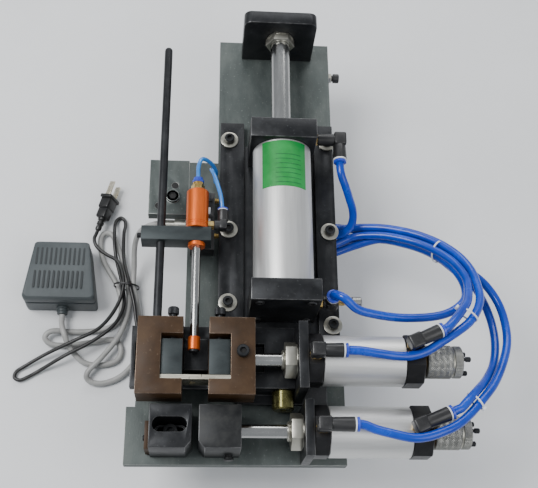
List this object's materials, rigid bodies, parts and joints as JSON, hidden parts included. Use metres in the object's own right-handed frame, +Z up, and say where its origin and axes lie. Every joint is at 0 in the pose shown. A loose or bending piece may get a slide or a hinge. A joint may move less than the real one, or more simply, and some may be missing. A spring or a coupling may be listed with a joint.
{
  "type": "pneumatic wire stripping machine",
  "caption": "Bench wire stripper: air cylinder pulls a blade head along a slideway behind a wire clamp; adjustable wire stop, blue hoses, foot switch on a cable.",
  "frame": {"origin": "on the underside of the bottom plate, straight below the main cylinder's axis and halfway along the main plate", "axes": "+X to the right, towards the small cylinders; +Y from the wire clamp to the rear, along the strip stroke; +Z up"},
  "size_m": [0.4816, 0.455, 0.1798],
  "materials": {
    "phosphated_steel": "mottled dark grey phosphate with wear",
    "painted_sheet": "satin dark grey",
    "black_steel": "black oxide, satin",
    "black_caps": "black anodised, satin",
    "barrel_aluminium": "satin, fine drawn lines",
    "chromed_rod": "polished hard chrome",
    "zinc_plate": "bright zinc",
    "rack_steel": "blued",
    "blade_steel": "ground tool steel",
    "knurled_steel": "diamond knurled",
    "bronze_brown": "brown oxide, satin",
    "orange_anodised": "orange anodised, satin",
    "black_plastic": "moulded",
    "gland_metal": "dull",
    "blue_hose": "glossy polyurethane",
    "light_blue_hose": "glossy polyurethane",
    "grey_plastic": "fine moulded grain",
    "grey_cable": "satin sheath",
    "black_cable": "satin sheath"
  },
  "bodies": {
    "base": {"bottom_plate": "painted_sheet", "side_wall_left": "painted_sheet", "side_wall_right": "painted_sheet", "end_walls": "painted_sheet", "main_plate": "phosphated_steel", "side_tab": "phosphated_steel", "tail_plate": "black_steel", "gib_left": "black_steel", "gib_right": "black_steel", "gib_washers": "zinc_plate", "gib_bolts": "black_steel", "main_rod": "chromed_rod", "rod_nut": "zinc_plate", "valve_manifold": "barrel_aluminium", "solenoid_valves": "black_plastic", "stop_valve": "black_plastic", "air_inlet": "black_plastic", "cable_gland": "gland_metal", "cord_grommet": "black_plastic", "fixed_jaw": "black_steel", "jaw_bolt": "black_steel", "clamp_bracket": "black_steel", "clamp_nut": "zinc_plate", "clamp_barrel": "barrel_aluminium", "clamp_caps": "black_caps", "clamp_elbows": "black_plastic", "clamp_hoses": "blue_hose", "pedal_base": "grey_plastic", "pedal_cable": "grey_cable", "power_cord": "black_cable", "plug": "black_plastic"},
    "carriage": {"slide_plate": "black_steel", "rear_block": "black_steel", "front_block": "black_steel", "main_barrel": "barrel_aluminium", "head_beam": "black_steel", "blade_bracket": "black_steel", "blade_nut": "zinc_plate", "blade_barrel": "barrel_aluminium", "blade_caps": "black_caps", "carriage_elbows": "black_plastic", "main_hoses": "blue_hose", "blade_hoses": "blue_hose"},
    "right_blade_holder": {"right_blade_block": "bronze_brown", "right_rack": "rack_steel", "right_blade": "blade_steel", "blade_rod": "chromed_rod"},
    "left_blade_holder": {"left_blade_block": "bronze_brown", "left_blade": "blade_steel", "guide_rod": "black_steel"},
    "pinion": {"pinion": "zinc_plate"},
    "wire_stop": {"stop_bracket": "black_steel", "stop_body": "orange_anodised", "stop_hoses": "light_blue_hose"},
    "stop_rod": {"stop_rod": "chromed_rod"},
    "moving_jaw": {"moving_jaw": "black_steel", "clamp_rod": "chromed_rod"},
    "blade_knob": {"blade_knob": "knurled_steel"},
    "clamp_knob": {"clamp_knob": "knurled_steel"},
    "pedal_treadle": {"pedal_treadle": "grey_plastic"}
  },
  "joints": [
    {"name": "carriage_slide", "type": "slide", "parent": "base", "child": "carriage", "axis": [0, 1, 0], "range_m": [0, 0.1], "deforming": ["main_hoses", "blade_hoses", "clamp_hoses"]},
    {"name": "blade_slide", "type": "slide", "parent": "carriage", "child": "right_blade_holder", "axis": [1, 0, 0], "range_m": [0, 0.012]},
    {"name": "left_blade_slide", "type": "slide", "parent": "carriage", "child": "left_blade_holder", "axis": [-1, 0, 0], "range_m": [0, 0.012]},
    {"name": "pinion_spin", "type": "hinge", "parent": "carriage", "child": "pinion", "pos_m": [-0.0795, -0.136, 0.118], "axis": [0, 0, 1], "range_deg": [0, 90]},
    {"name": "stop_bracket_slide", "type": "slide", "parent": "left_blade_holder", "child": "wire_stop", "axis": [0, 1, 0], "range_m": [-0.004, 0.12], "deforming": ["stop_hoses"]},
    {"name": "stop_rod_slide", "type": "slide", "parent": "wire_stop", "child": "stop_rod", "axis": [0, 1, 0], "range_m": [0, 0.015]},
    {"name": "jaw_slide", "type": "slide", "parent": "base", "child": "moving_jaw", "axis": [1, 0, 0], "range_m": [0, 0.03]},
    {"name": "blade_knob_turn", "type": "hinge", "parent": "right_blade_holder", "child": "blade_knob", "pos_m": [0.14, -0.142, 0.14], "axis": [1, 0, 0], "continuous": true},
    {"name": "clamp_knob_turn", "type": "hinge", "parent": "moving_jaw", "child": "clamp_knob", "pos_m": [0.146, -0.2025, 0.125], "axis": [1, 0, 0], "continuous": true},
    {"name": "treadle_press", "type": "hinge", "parent": "base", "child": "pedal_treadle", "pos_m": [-0.2215, 0.008, 0.017], "axis": [1, 0, 0], "range_deg": [0, 2.6], "stiffness_Nm_per_rad": 6, "springref_deg": -5.73}
  ],
  "couplings": [
    {"joint": "left_blade_slide", "follows": "blade_slide", "ratio": 1},
    {"joint": "pinion_spin", "follows": "blade_slide", "rad_per_m": 125}
  ]
}
